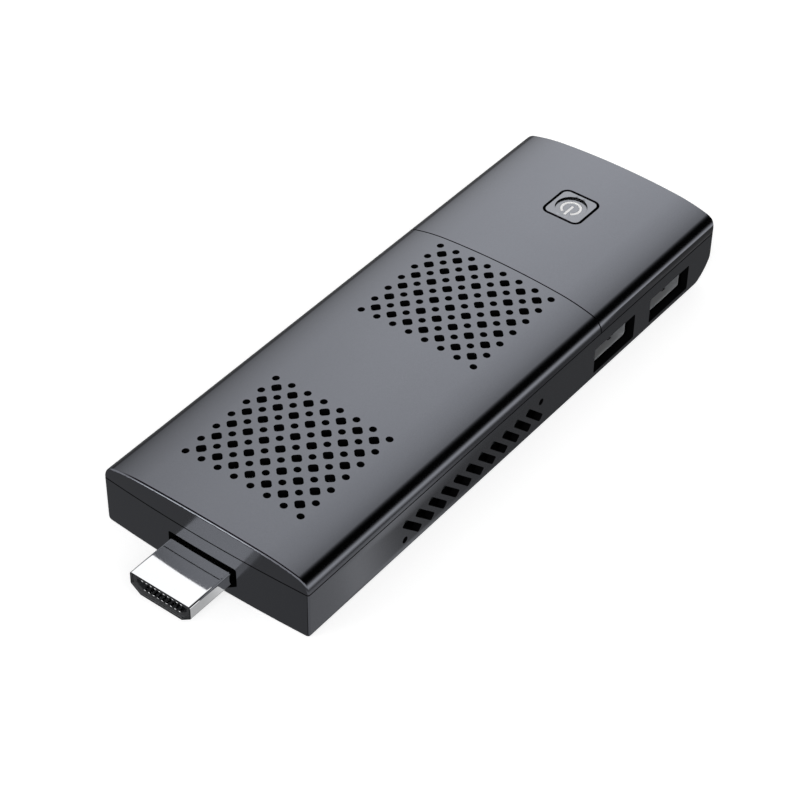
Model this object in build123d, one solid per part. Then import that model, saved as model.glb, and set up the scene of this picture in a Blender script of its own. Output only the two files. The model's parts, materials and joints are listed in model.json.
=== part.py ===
from build123d import *
import math
import os

# Stick computer, in millimetres. +X runs from the plug end to the rear end, +Z is up, the two
# USB sockets are on the -Y side. The origin is on the bottom, under the middle of the whole length.

# Driving dimensions
body_length = 128.3
body_width = 46.8
body_height = 15.6
cover_depth = 5.25
plug_reach = 10.85
plug_width = 13.9
plug_height = 4.45
plug_middle_height = 4.275
wall = 1.5
floor_thickness = 1.3
seam_distance = 88.0
seam_gap = 0.28
board_thickness = 1.2

# Small clearances and the overrun of every cut
fit_gap = 0.05
loose_gap = 0.3
overrun = 1.0

half_width = body_width / 2
rim_height = body_height - cover_depth
front_x = (plug_reach - body_length) / 2
rear_x = front_x + body_length
seam_x = front_x + seam_distance
board_top = plug_middle_height + board_thickness / 2
board_bottom = board_top - board_thickness


def block(x0, x1, y0, y1, z0, z1):
    """A block between two corners."""
    return Pos((x0 + x1) / 2, (y0 + y1) / 2, (z0 + z1) / 2) * Box(x1 - x0, y1 - y0, z1 - z0)


def rod(x, y, z0, z1, radius):
    """An upright cylinder between two heights."""
    return Pos(x, y, (z0 + z1) / 2) * Cylinder(radius, z1 - z0)


def ring(x, y, z0, z1, outer, inner):
    """An upright tube between two heights."""
    return rod(x, y, z0, z1, outer) - rod(x, y, z0 - overrun, z1 + overrun, inner)


def slab(x0, x1, y0, y1, z0, z1, corner):
    """A block whose four upright edges are rounded."""
    plan = Pos((x0 + x1) / 2, (y0 + y1) / 2, z0) * RectangleRounded(x1 - x0, y1 - y0, corner)
    return extrude(plan, amount=z1 - z0)


def through_side(outline, x, z, y0, y1):
    """A flat outline, drawn with Z as its second axis, carried across from y0 to the lower y1."""
    side = Plane(origin=(x, y0, z), x_dir=(1, 0, 0), z_dir=(0, -1, 0))
    return extrude(side * outline, amount=y0 - y1)


def through_front(outline, y, z, x0, x1):
    """A flat outline, drawn with Z as its second axis, carried along from x0 to the higher x1."""
    end = Plane(origin=(x0, y, z), x_dir=(0, 1, 0), z_dir=(1, 0, 0))
    return extrude(end * outline, amount=x1 - x0)


def joined(pieces):
    """One shape of all the pieces."""
    return pieces[0].fuse(*pieces[1:]) if len(pieces) > 1 else pieces[0]


def at(distance):
    """A place along the body, told by how far it lies behind the front wall."""
    return front_x + distance


def screw(x, y, seat, tip, radius, head_radius, head_height):
    """A cross-head screw with its shaft from seat to tip and its head on the other side of the seat."""
    way = 1 if seat > tip else -1
    end = seat + way * head_height
    shaft = rod(x, y, min(seat, tip), max(seat, tip), radius)
    head = rod(x, y, min(seat, end), max(seat, end), head_radius)
    depth = head_height / 2
    arm = head_radius / 2
    low, high = sorted((end - way * depth, end + way * depth))
    cross = [block(x - arm, x + arm, y - arm / 4, y + arm / 4, low, high),
             block(x - arm / 4, x + arm / 4, y - arm, y + arm, low, high)]
    return (shaft + head) - cross


def boxes(places, length, width, z0, z1):
    """Separate equal blocks, one round each place."""
    return [block(x - length / 2, x + length / 2, y - width / 2, y + width / 2, z0, z1) for x, y in places]


nodes = {}
os.makedirs("parts", exist_ok=True)


# Case: outer form. The top is a shallow crown that rolls over into upright sides, the front is slightly
# bowed in plan and its edges are rounded. The rear wall's corners are rounded in plan, and the rear end
# sweeps up from the underside.
crown_radius = 160.0
crown_half_width = 13.6
shoulder_radius = 38.7
brow_radius = 3.3
long_edge_radius = 0.8
front_bow_radius = 350.0
end_edge_radius = 0.5
tail_radius = 8.8
rear_corner_radius = 1.3
inner_corner_radius = 0.3

crown_angle = math.asin(crown_half_width / crown_radius)
shoulder_sine = (half_width - crown_half_width + shoulder_radius * math.sin(crown_angle) - brow_radius)
shoulder_angle = math.asin(shoulder_sine / (shoulder_radius - brow_radius))
crown_centre_z = body_height - crown_radius
shoulder_centre_y = (crown_radius - shoulder_radius) * math.sin(crown_angle)
shoulder_centre_z = crown_centre_z + (crown_radius - shoulder_radius) * math.cos(crown_angle)
brow_centre_y = half_width - brow_radius
brow_centre_z = shoulder_centre_z + (shoulder_radius - brow_radius) * math.cos(shoulder_angle)


def arc_points(centre_y, centre_z, radius, start, end, side):
    """Start, middle and end of an arc across the body, by angle from straight up."""
    angles = (start, (start + end) / 2, end)
    points = [(0, side * (centre_y + radius * math.sin(a)), centre_z + radius * math.cos(a))
              for a in angles]
    return points if side > 0 else points[::-1]


def section(inset, bottom, edge_radius):
    """The body's cross-section, drawn in by inset, with its underside at bottom."""
    side_y = half_width - inset
    arcs = []
    for side in (-1, 1):
        brow = arc_points(brow_centre_y, brow_centre_z, brow_radius - inset, shoulder_angle,
                          math.pi / 2, side)
        shoulder = arc_points(shoulder_centre_y, shoulder_centre_z, shoulder_radius - inset,
                              crown_angle, shoulder_angle, side)
        arcs += [brow, shoulder] if side < 0 else [shoulder, brow]
    crown = [arcs[1][2], (0, 0, body_height - inset), arcs[2][0]]
    low = bottom + edge_radius
    dip = edge_radius * (1 - math.sqrt(1 / 2))
    edges = [ThreePointArc(*arcs[0]), ThreePointArc(*arcs[1]), ThreePointArc(*crown),
             ThreePointArc(*arcs[2]), ThreePointArc(*arcs[3]),
             Line(arcs[3][2], (0, side_y, low)),
             ThreePointArc((0, side_y, low), (0, side_y - dip, bottom + dip),
                           (0, side_y - edge_radius, bottom)),
             Line((0, side_y - edge_radius, bottom), (0, edge_radius - side_y, bottom)),
             ThreePointArc((0, edge_radius - side_y, bottom), (0, dip - side_y, bottom + dip),
                           (0, -side_y, low)),
             Line((0, -side_y, low), arcs[0][0])]
    return Face(Wire(edges))


def front_plane(y, inset=0):
    """Where the bowed front wall stands at a distance y from the middle."""
    radius = front_bow_radius - inset
    return front_x + inset + radius - math.sqrt(radius ** 2 - y ** 2)


def case_form(inset, bottom, edge_radius, end_radius, corner_radius=0):
    """The whole body's outer form, drawn in by inset, its front edges and rear corners rounded."""
    side_y = half_width - inset
    middle_x = (front_x + rear_x) / 2
    long = extrude(section(inset, bottom, edge_radius), amount=body_length / 2, both=True)
    long = Pos(middle_x, 0, 0) * long
    bow = ThreePointArc((front_plane(side_y, inset), -side_y, 0), (front_x + inset, 0, 0),
                        (front_plane(side_y, inset), side_y, 0))
    plan = Face(Wire([bow, Line(bow @ 1, (rear_x - inset, side_y, 0)),
                      Line((rear_x - inset, side_y, 0), (rear_x - inset, -side_y, 0)),
                      Line((rear_x - inset, -side_y, 0), bow @ 0)]))
    if corner_radius:
        plan = fillet(plan.vertices().group_by(Axis.X)[-1], corner_radius)
    form = long & extrude(plan, amount=body_height, dir=(0, 0, 1))
    form = fillet([e for e in form.edges() if e.bounding_box().max.X < middle_x], end_radius)
    sweep = tail_radius - inset
    sweep_z = bottom + sweep
    cut = block(rear_x - inset - sweep, rear_x + overrun, -body_width, body_width, bottom - overrun, sweep_z)
    round_end = Pos(rear_x - inset - sweep, 0, sweep_z) * Rot(90, 0, 0) * Cylinder(sweep, 2 * body_width)
    return form - (cut - round_end)


outer_form = case_form(0, 0, long_edge_radius, end_edge_radius, rear_corner_radius)

# Case: the shell and the two covers meet on a lip that stands inside the wall, and the front cover
# laps under the rear one. A fine gap shows along each joint.
lip_thickness = 0.6
lip_height = 1.0
lap_length = 1.6
lip_inset = wall - lip_thickness
lip_top = rim_height + lip_height

cavity = case_form(wall, floor_thickness, inner_corner_radius, inner_corner_radius)
lip_form = case_form(lip_inset, floor_thickness, inner_corner_radius, inner_corner_radius)
lip_room = case_form(lip_inset - fit_gap, floor_thickness, inner_corner_radius, inner_corner_radius)


def band(x0, x1, z0, z1):
    """A block as wide as any body, to cut slices with."""
    return block(x0, x1, -body_width, body_width, z0, z1)


walls = outer_form - cavity
below_rim = band(front_x - overrun, rear_x + overrun, -overrun, rim_height)
lip = (lip_form - cavity) & band(front_x, rear_x, rim_height - lip_height, lip_top)
bottom_shell = (walls & below_rim) + lip

above_rim = band(front_x - overrun, rear_x + overrun, rim_height + seam_gap, body_height + overrun)
covers = (walls & above_rim) - (lip_room & band(front_x, rear_x, rim_height, lip_top))
front_cover = covers & band(front_x - overrun, seam_x - seam_gap / 2, rim_height, body_height + overrun)
lap = (lip_form - cavity) & band(seam_x - lap_length, seam_x + lap_length, lip_top, body_height)
front_cover = front_cover + lap
rear_cover = covers & band(seam_x + seam_gap / 2, rear_x + overrun, rim_height, body_height + overrun)
lap_room = lip_room & band(seam_x, seam_x + lap_length + fit_gap, rim_height, body_height)
rear_cover = rear_cover - lap_room

# Vent fields: small round holes on a grid, with a larger rounded square turned by 45 degrees in the
# middle of every four.
vent_columns = 7
vent_rows = 8
vent_step_x = 4.12
vent_step_y = 3.76
vent_start = 11.2
vent_field_step = 49.66
vent_hole_radius = 0.72
vent_square_side = 1.88
vent_square_corner = 0.55
vent_fields = 2


def vent_field(x_first):
    """Cutters for one field of vent holes."""
    y_first = -vent_step_y * (vent_rows - 1) / 2
    square_turned = Rot(0, 0, 45) * RectangleRounded(vent_square_side, vent_square_side, vent_square_corner)
    round_hole = extrude(Circle(vent_hole_radius), amount=body_height)
    square_hole = extrude(square_turned, amount=body_height)
    holes = [Pos(x_first + i * vent_step_x, y_first + j * vent_step_y, lip_top) * round_hole
             for i in range(vent_columns) for j in range(vent_rows)]
    x_first += vent_step_x / 2
    y_first += vent_step_y / 2
    holes += [Pos(x_first + i * vent_step_x, y_first + j * vent_step_y, lip_top) * square_hole
              for i in range(vent_columns - 1) for j in range(vent_rows - 1)]
    return holes


vents = [vent_field(at(vent_start + field * vent_field_step)) for field in range(vent_fields)]
front_cover = front_cover - sum(vents, [])

# Side vents: a row of slots leaning to the rear, with a round hole before and after it, on both sides
slot_count = 11
slot_start = 29.48
slot_step = 3.71
slot_height = 4.77
slot_length = 6.75
slot_width = 1.62
slot_corner = 0.4
slot_lean = -44.5
end_hole_radius = 0.71
end_hole_step = 2.05
end_hole_rise = 1.88
slot_row = slot_step * (slot_count - 1)

shell_cuts = []
slot_outline = Rot(0, 0, slot_lean) * RectangleRounded(slot_length, slot_width, slot_corner)
for y in (half_width + overrun, wall + overrun - half_width):
    y_end = y - wall - 2 * overrun
    for i in range(slot_count):
        slot_x = at(slot_start + i * slot_step)
        shell_cuts.append(through_side(slot_outline, slot_x, slot_height, y, y_end))
    for step, rise in ((-end_hole_step, -end_hole_rise), (slot_row + end_hole_step, end_hole_rise)):
        hole_x = at(slot_start + step)
        shell_cuts.append(through_side(Circle(end_hole_radius), hole_x, slot_height + rise, y, y_end))

# Main board: it fills the case from end to end and carries the plug and the sockets in notches in its
# edge, so that they sit at mid height.
board_front = 3.0
board_rear = 123.5
board_side_gap = 0.5
board_corner = 1.0
board_half_width = half_width - wall - board_side_gap
board_cuts = []

# Video plug: a D-shaped steel sheet shell round a black insulator, with ten contacts above nine
plug_sheet = 0.3
plug_side_height = 2.85
plug_foot_half_width = 4.75
plug_corner = 0.5
plug_inner_corner = 0.2
plug_inside = 9.0
plug_mouth_step = 0.35
plug_frame = 0.9
plug_cavity_depth = 9.0
plug_opening_gap = 0.85
plug_wing_reach = 2.2
plug_wing_length = 3.0
plug_wing_inset = 1.5
contact_pitch = 1.0
contact_width = 0.45
contact_thickness = 0.25
contact_inset = 0.35
contact_tail = 2.0
contact_overlap = 0.6
upper_contacts = 10
lower_contacts = 9

plug_tip = front_x - plug_reach
plug_rear = at(plug_inside)
notch_end = plug_rear + loose_gap


def plug_outline(inset, corner):
    """The plug's D-shaped section, drawn in by inset."""
    top = plug_height / 2
    half = plug_width / 2
    knee = top - plug_side_height
    corners = [(-half, top), (-half, knee), (-plug_foot_half_width, -top), (plug_foot_half_width, -top),
               (half, knee), (half, top)]
    outline = make_face(Polyline(*corners, close=True))
    if inset:
        outline = offset(outline, -inset, kind=Kind.INTERSECTION)
    return fillet(outline.vertices(), corner)


def plug_run(inset, corner, x0, x1):
    """The plug's section carried along between two places."""
    return through_front(plug_outline(inset, corner), 0, plug_middle_height, x0, x1)


plug_shell = plug_run(0, plug_corner, plug_tip, plug_rear)
plug_shell = plug_shell - plug_run(plug_sheet, plug_inner_corner, plug_tip - overrun, plug_rear + overrun)
wing_x = plug_rear - plug_wing_inset
for side in (-1, 1):
    wing_y = sorted((side * (plug_width / 2 - plug_sheet / 2), side * (plug_width / 2 + plug_wing_reach)))
    wing = block(wing_x - plug_wing_length, wing_x, *wing_y, board_top, board_top + plug_sheet)
    plug_shell = plug_shell + wing

insulator_inset = plug_sheet + fit_gap
plug_insulator = plug_run(insulator_inset, plug_inner_corner, plug_tip + plug_mouth_step, plug_rear)
cavity_end = plug_tip + plug_cavity_depth
plug_cavity = plug_run(insulator_inset + plug_frame, plug_inner_corner, plug_tip, cavity_end)

strip_ends = (plug_tip + contact_inset, notch_end + contact_overlap)
plug_contacts = []
for count, way in ((upper_contacts, 1), (lower_contacts, -1)):
    tail_z = [plug_middle_height + way * (board_thickness / 2 + k * contact_thickness) for k in (0, 1)]
    front_z = [z + way * contact_thickness for z in tail_z]
    for i in range(count):
        y = (i - (count - 1) / 2) * contact_pitch
        y_sides = (y - contact_width / 2, y + contact_width / 2)
        front_strip = block(*strip_ends, *y_sides, *sorted(front_z))
        tail_strip = block(notch_end, notch_end + contact_tail, *y_sides, *sorted(tail_z))
        plug_contacts.append(front_strip + tail_strip)

plug_insulator = plug_insulator - plug_cavity - plug_contacts
nodes["video_plug_shell"] = plug_shell
nodes["video_plug_insulator"] = plug_insulator
nodes["video_plug_contacts"] = Compound(plug_contacts)

shell_cuts.append(plug_run(-plug_opening_gap, plug_corner, front_x - overrun, at(wall + overrun)))
notch_half_width = plug_width / 2 + loose_gap
board_cuts.append(block(at(0), notch_end, -notch_half_width, notch_half_width, board_bottom - overrun,
                        board_top + overrun))

# USB sockets: steel sheet shells in notches of the board, set back from openings in the side wall.
# The tongue hangs near the top, with its four contacts on its underside.
usb_distances = (93.15, 112.3)
usb_names = ("front", "rear")
usb_middle_height = 4.45
usb_width = 13.0
usb_height = 5.62
usb_depth = 14.0
usb_sheet = 0.25
usb_corner = 0.6
usb_inner_corner = 0.35
usb_recess = 1.85
usb_opening_width = 13.75
usb_opening_height = 5.9
usb_opening_corner = 0.35
usb_tongue_width = 11.1
usb_tongue_thickness = 1.84
usb_tongue_drop = 0.66
usb_tongue_recess = 1.65
usb_block_depth = 3.0
usb_contact_places = (-3.5, -1.0, 1.0, 3.5)
usb_contact_width = 0.9
usb_contact_inset = 0.8
usb_contact_tail = 1.3
spring_place = 3.25
spring_width = 1.3
spring_slit = 0.35
spring_start = 1.2
spring_length = 5.5
usb_wing_reach = 1.8
usb_wing_width = 2.0
usb_wing_depth = 9.0

usb_mouth = usb_recess - half_width
usb_rear = usb_mouth + usb_depth
usb_floor = usb_middle_height - usb_height / 2
usb_roof = usb_middle_height + usb_height / 2
tongue_top = usb_roof - usb_sheet - usb_tongue_drop
tongue_bottom = tongue_top - usb_tongue_thickness
tongue_front = usb_mouth + usb_tongue_recess
usb_notch_end = usb_rear + loose_gap


def spring_slits(x):
    """The slits that free one leaf spring in the socket's sheet."""
    leaf = block(x - spring_width / 2, x + spring_width / 2, usb_mouth + spring_start,
                 usb_mouth + spring_length, usb_floor - overrun, usb_roof + overrun)
    leaf_half = spring_width / 2 - spring_slit
    core = block(x - leaf_half, x + leaf_half, usb_mouth + spring_start + spring_slit,
                 usb_mouth + spring_length + overrun, usb_floor - 2 * overrun, usb_roof + 2 * overrun)
    return leaf - core


def usb_contact(x):
    """One contact: along the tongue, up through the block, and out onto the board."""
    x_sides = (x - usb_contact_width / 2, x + usb_contact_width / 2)
    riser_y = usb_rear - usb_block_depth / 2
    tail_top = board_top + contact_thickness
    along = block(*x_sides, tongue_front + usb_contact_inset, riser_y, tongue_bottom,
                  tongue_bottom + contact_thickness)
    riser = block(*x_sides, riser_y - contact_thickness, riser_y, tongue_bottom, tail_top)
    tail = block(*x_sides, riser_y - contact_thickness, usb_notch_end + usb_contact_tail, board_top,
                 tail_top)
    return joined([along, riser, tail])


for name, distance in zip(usb_names, usb_distances):
    x = at(distance)
    shell_outline = RectangleRounded(usb_width, usb_height, usb_corner)
    inner_width = usb_width - 2 * usb_sheet
    inner_height = usb_height - 2 * usb_sheet
    inner_outline = RectangleRounded(inner_width, inner_height, usb_inner_corner)
    shell = through_side(shell_outline, x, usb_middle_height, usb_rear, usb_mouth)
    hollow = through_side(inner_outline, x, usb_middle_height, usb_rear + overrun, usb_mouth - overrun)
    shell = shell - hollow
    shell = shell - [spring_slits(x + side * spring_place) for side in (-1, 1)]
    wing_y = (usb_mouth + usb_wing_depth, usb_mouth + usb_wing_depth + usb_wing_width)
    for side in (-1, 1):
        wing_x = sorted(x + side * (usb_width / 2 + reach) for reach in (-usb_sheet / 2, usb_wing_reach))
        shell = shell + block(*wing_x, *wing_y, board_top, board_top + usb_sheet)
    contacts = [usb_contact(x + place) for place in usb_contact_places]
    block_outline = RectangleRounded(inner_width - 2 * fit_gap, inner_height - 2 * fit_gap,
                                     usb_inner_corner)
    insulator = through_side(block_outline, x, usb_middle_height, usb_rear, usb_rear - usb_block_depth)
    insulator = insulator + block(x - usb_tongue_width / 2, x + usb_tongue_width / 2, tongue_front,
                                  usb_rear - usb_block_depth, tongue_bottom, tongue_top)
    nodes["usb_socket_shell_" + name] = shell
    nodes["usb_socket_tongue_" + name] = insulator - contacts
    nodes["usb_socket_contacts_" + name] = Compound(contacts)
    opening = RectangleRounded(usb_opening_width, usb_opening_height, usb_opening_corner)
    shell_cuts.append(through_side(opening, x, usb_middle_height, wall + overrun - half_width,
                                   -half_width - overrun))
    notch_half = usb_width / 2 + loose_gap
    board_cuts.append(block(x - notch_half, x + notch_half, -half_width, usb_notch_end,
                            board_bottom - overrun, board_top + overrun))

# Power inlet: a small oval socket on the board, on the side away from the USB sockets
inlet_distance = 112.0
inlet_width = 8.94
inlet_height = 3.16
inlet_depth = 7.3
inlet_sheet = 0.3
inlet_recess = 0.6
inlet_tongue_width = 6.7
inlet_tongue_thickness = 0.7
inlet_tongue_recess = 1.3
inlet_block_depth = 2.0
inlet_contact_count = 12
inlet_contact_pitch = 0.5
inlet_contact_width = 0.25
inlet_contact_thickness = 0.08
inlet_contact_length = 3.0
inlet_contact_inset = 0.3

inlet_x = at(inlet_distance)
inlet_mouth = half_width - inlet_recess
inlet_rear = inlet_mouth - inlet_depth
inlet_z = board_top + inlet_height / 2


def oval(width, height):
    """A slot with round ends, told by its overall size."""
    return SlotOverall(width, height)


inlet_inner_width = inlet_width - 2 * inlet_sheet
inlet_inner_height = inlet_height - 2 * inlet_sheet
inlet_shell = through_side(oval(inlet_width, inlet_height), inlet_x, inlet_z, inlet_mouth, inlet_rear)
inlet_hollow = through_side(oval(inlet_inner_width, inlet_inner_height), inlet_x, inlet_z,
                            inlet_mouth + overrun, inlet_rear - overrun)
inlet_plate = oval(inlet_inner_width - 2 * fit_gap, inlet_inner_height - 2 * fit_gap)
inlet_tongue = through_side(inlet_plate, inlet_x, inlet_z, inlet_rear + inlet_block_depth, inlet_rear)
tongue_end = inlet_mouth - inlet_tongue_recess
tongue_half = inlet_tongue_thickness / 2
inlet_tongue = inlet_tongue + block(inlet_x - inlet_tongue_width / 2, inlet_x + inlet_tongue_width / 2,
                                    inlet_rear + inlet_block_depth, tongue_end, inlet_z - tongue_half,
                                    inlet_z + tongue_half)
inlet_places = [(inlet_x + (i - (inlet_contact_count - 1) / 2) * inlet_contact_pitch,
                 tongue_end - inlet_contact_inset - inlet_contact_length / 2)
                for i in range(inlet_contact_count)]
inlet_contacts = []
for z in (inlet_z - tongue_half, inlet_z + tongue_half - inlet_contact_thickness):
    inlet_contacts += boxes(inlet_places, inlet_contact_width, inlet_contact_length, z,
                            z + inlet_contact_thickness)
nodes["power_inlet_shell"] = inlet_shell - inlet_hollow
nodes["power_inlet_tongue"] = inlet_tongue - inlet_contacts
nodes["power_inlet_contacts"] = Compound(inlet_contacts)
inlet_opening = oval(inlet_width + 2 * loose_gap, inlet_height + 2 * loose_gap)
shell_cuts.append(through_side(inlet_opening, inlet_x, inlet_z, half_width + overrun,
                               half_width - wall - overrun))

# Memory card socket: a sheet cover over a plastic base, behind a narrow slot in the same side
card_distance = 93.0
card_socket_length = 14.0
card_socket_depth = 14.5
card_socket_height = 1.6
card_sheet = 0.2
card_width = 11.2
card_room = 0.8
card_floor = 0.35
card_opening_margin = 0.5
card_stop = 1.2

card_x = at(card_distance)
card_mouth = half_width - wall - loose_gap
card_rear = card_mouth - card_socket_depth
card_base_top = board_top + card_floor
card_roof = board_top + card_socket_height
card_half = card_socket_length / 2
card_base = block(card_x - card_half + card_sheet, card_x + card_half - card_sheet, card_rear, card_mouth,
                  board_top, card_roof - card_sheet)
card_space = block(card_x - card_width / 2, card_x + card_width / 2, card_rear + card_stop,
                   card_mouth + overrun, card_base_top, card_roof)
card_cover = block(card_x - card_half, card_x + card_half, card_rear, card_mouth, board_top, card_roof)
card_under = block(card_x - card_half + card_sheet, card_x + card_half - card_sheet, card_rear - overrun,
                   card_mouth + overrun, board_top - overrun, card_roof - card_sheet)
nodes["card_socket_base"] = card_base - card_space
nodes["card_socket_cover"] = card_cover - card_under
card_opening_half = card_width / 2 + card_opening_margin
shell_cuts.append(block(card_x - card_opening_half, card_x + card_opening_half,
                        half_width - wall - overrun, half_width + overrun,
                        card_base_top - card_sheet, card_base_top + card_room + card_sheet))

# Case screws: six, from below, through bosses of the shell and the board into bosses of the covers
case_screw_inset = 4.8
rear_screw_inset = 5.9
front_screw_distance = 7.5
middle_screw_inset = 4.5
screw_radius = 1.0
screw_hole_radius = 1.1
board_hole_radius = 1.3
case_head_radius = 1.9
case_head_height = 1.2
counterbore_radius = 2.1
counterbore_depth = 1.6
lower_boss_radius = 2.5
cover_boss_radius = 2.3
case_screw_reach = 5.0

rear_screw_distance = sum(usb_distances) / 2
case_screw_places = [(at(distance), side * (half_width - inset)) for side in (-1, 1)
                     for distance, inset in ((front_screw_distance, case_screw_inset),
                                             (seam_distance - middle_screw_inset, case_screw_inset),
                                             (rear_screw_distance, rear_screw_inset))]
lower_bosses = []
cover_bosses = []
case_screws = []
pilot_top = board_top + case_screw_reach
for x, y in case_screw_places:
    lower_bosses.append(rod(x, y, floor_thickness / 2, board_bottom, lower_boss_radius))
    cover_bosses.append(rod(x, y, board_top, body_height, cover_boss_radius) & lip_form)
    shell_cuts.append(rod(x, y, -overrun, counterbore_depth, counterbore_radius))
    shell_cuts.append(rod(x, y, counterbore_depth, board_bottom + overrun, screw_hole_radius))
    board_cuts.append(rod(x, y, board_bottom - overrun, board_top + overrun, board_hole_radius))
    case_screws.append(screw(x, y, counterbore_depth, pilot_top - fit_gap, screw_radius, case_head_radius,
                             case_head_height))
cover_pilots = [rod(x, y, board_top - overrun, pilot_top, screw_radius + fit_gap)
                for x, y in case_screw_places]
nodes["case_screws"] = Compound(case_screws)

# Board screws: three, from above, into short posts on the floor of the shell
front_board_screw_distance = 15.0
front_board_screw_inset = 5.9
rear_board_screw_distance = 66.0
rear_board_screw_inset = 4.8
post_radius = 2.2
board_screw_radius = 0.8
board_screw_hole_radius = 1.0
board_head_radius = 1.7
board_head_height = 0.9

front_board_screw_side = half_width - front_board_screw_inset
board_screw_places = [(at(front_board_screw_distance), -front_board_screw_side),
                      (at(front_board_screw_distance), front_board_screw_side),
                      (at(rear_board_screw_distance), rear_board_screw_inset - half_width)]
board_screws = []
for x, y in board_screw_places:
    lower_bosses.append(rod(x, y, floor_thickness / 2, board_bottom, post_radius))
    shell_cuts.append(rod(x, y, floor_thickness, board_bottom + overrun, board_screw_radius + fit_gap))
    board_cuts.append(rod(x, y, board_bottom - overrun, board_top + overrun, board_screw_hole_radius))
    board_screws.append(screw(x, y, board_top, floor_thickness + fit_gap, board_screw_radius,
                              board_head_radius, board_head_height))
nodes["board_screws"] = Compound(board_screws)

# Power button: a rounded square cap flush with the rear cover, with a round dish in its middle and a
# white inlaid mark. Two pins of the cover guide its flange, and its post stands on the switch.
button_distance = 111.08
window_side = 9.1
window_corner = 1.8
button_gap = 0.55
button_travel = 0.35
dish_radius = 3.2
dish_depth = 0.4
flange_length = 13.6
flange_width = 10.2
flange_thickness = 0.8
flange_gap = 0.25
flange_corner = 1.0
guide_place = 5.5
guide_radius = 0.6
guide_reach = 0.85
button_post_radius = 1.5
mark_radius = 2.19
mark_width = 0.54
mark_depth = 0.25
mark_gap_angle = 29
mark_bar_front = 2.39
mark_bar_rear = 0.75

button_x = at(button_distance)
cap_side = window_side - 2 * button_gap
flange_top = body_height - wall - flange_gap
flange_bottom = flange_top - flange_thickness
dish_floor = body_height - dish_depth
guide_places = [(button_x + side * guide_place, 0) for side in (-1, 1)]

window = slab(button_x - window_side / 2, button_x + window_side / 2, -window_side / 2, window_side / 2,
              lip_top, body_height + overrun, window_corner)
guide_pins = [rod(x, y, flange_bottom - button_travel - guide_reach, body_height, guide_radius) & lip_form
              for x, y in guide_places]
cap = slab(button_x - cap_side / 2, button_x + cap_side / 2, -cap_side / 2, cap_side / 2, flange_bottom,
           body_height + overrun, window_corner - button_gap) & outer_form
flange = slab(button_x - flange_length / 2, button_x + flange_length / 2, -flange_width / 2,
              flange_width / 2, flange_bottom, flange_top, flange_corner)
guide_holes = [rod(x, y, flange_bottom - overrun, flange_top + overrun, guide_radius + fit_gap)
               for x, y in guide_places]
dish = rod(button_x, 0, dish_floor, body_height + overrun, dish_radius)

mark_inner = mark_radius - mark_width
mark_ring = ring(0, 0, dish_floor - mark_depth, dish_floor, mark_radius, mark_inner)
gap_wedge = make_face(Polyline((0, 0),
                               (-2 * mark_radius, 2 * mark_radius * math.tan(math.radians(mark_gap_angle))),
                               (-2 * mark_radius, -2 * mark_radius * math.tan(math.radians(mark_gap_angle))),
                               close=True))
mark_ring = mark_ring - extrude(Pos(0, 0, dish_floor - 2 * mark_depth) * gap_wedge, amount=4 * mark_depth)
mark_bar = block(-mark_bar_front, mark_bar_rear, -mark_width / 2, mark_width / 2, dish_floor - mark_depth,
                 dish_floor)
power_symbol = [Pos(button_x, 0, 0) * mark_ring, Pos(button_x, 0, 0) * mark_bar]

# Switch under the button: a base with four terminals, a domed spring, a plunger and a cover plate
switch_side = 6.0
switch_height = 2.6
switch_plate = 0.2
switch_floor = 0.475
switch_room_radius = 2.55
dome_radius = 2.25
dome_top_radius = 0.8
dome_height = 0.65
dome_sheet = 0.12
plunger_disc_radius = 2.2
plunger_disc_height = 1.15
plunger_radius = 1.65
plunger_height = 2.2
terminal_length = 1.2
terminal_width = 0.7
terminal_place = 2.25
terminal_sheet = 0.2

switch_half = switch_side / 2
room_floor = board_top + switch_floor
dome_top = room_floor + dome_height
switch_top = board_top + switch_height
plate_bottom = switch_top - switch_plate
plunger_top = dome_top + plunger_height
terminal_x = switch_half + terminal_length / 2
switch_base = block(button_x - switch_half, button_x + switch_half, -switch_half, switch_half, board_top,
                    plate_bottom) - rod(button_x, 0, room_floor, switch_top, switch_room_radius)
switch_plate_form = block(button_x - switch_half, button_x + switch_half, -switch_half, switch_half,
                          plate_bottom, switch_top)
dome = Pos(button_x, 0, room_floor + dome_height / 2) * Cone(dome_radius, dome_top_radius, dome_height)
dome_hollow = Pos(0, 0, -dome_sheet) * dome
plunger = rod(button_x, 0, dome_top, dome_top + plunger_disc_height, plunger_disc_radius)
plunger = plunger + rod(button_x, 0, dome_top, plunger_top, plunger_radius)
terminal_places = [(button_x + side * terminal_x, end * terminal_place)
                   for side in (-1, 1) for end in (-1, 1)]
button_post = rod(button_x, 0, plunger_top, flange_top, button_post_radius)
button = (joined([cap, flange, button_post]) - [dish] - guide_holes) - power_symbol

nodes["power_button"] = button
nodes["power_symbol"] = Compound(power_symbol)
nodes["switch_base"] = switch_base
nodes["switch_cover_plate"] = switch_plate_form - rod(button_x, 0, board_top, switch_top + overrun,
                                                      plunger_radius + fit_gap)
nodes["switch_dome"] = dome - dome_hollow
nodes["switch_plunger"] = plunger
nodes["switch_terminals"] = Compound(boxes(terminal_places, terminal_length, terminal_width, board_top,
                                           board_top + terminal_sheet))

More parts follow.
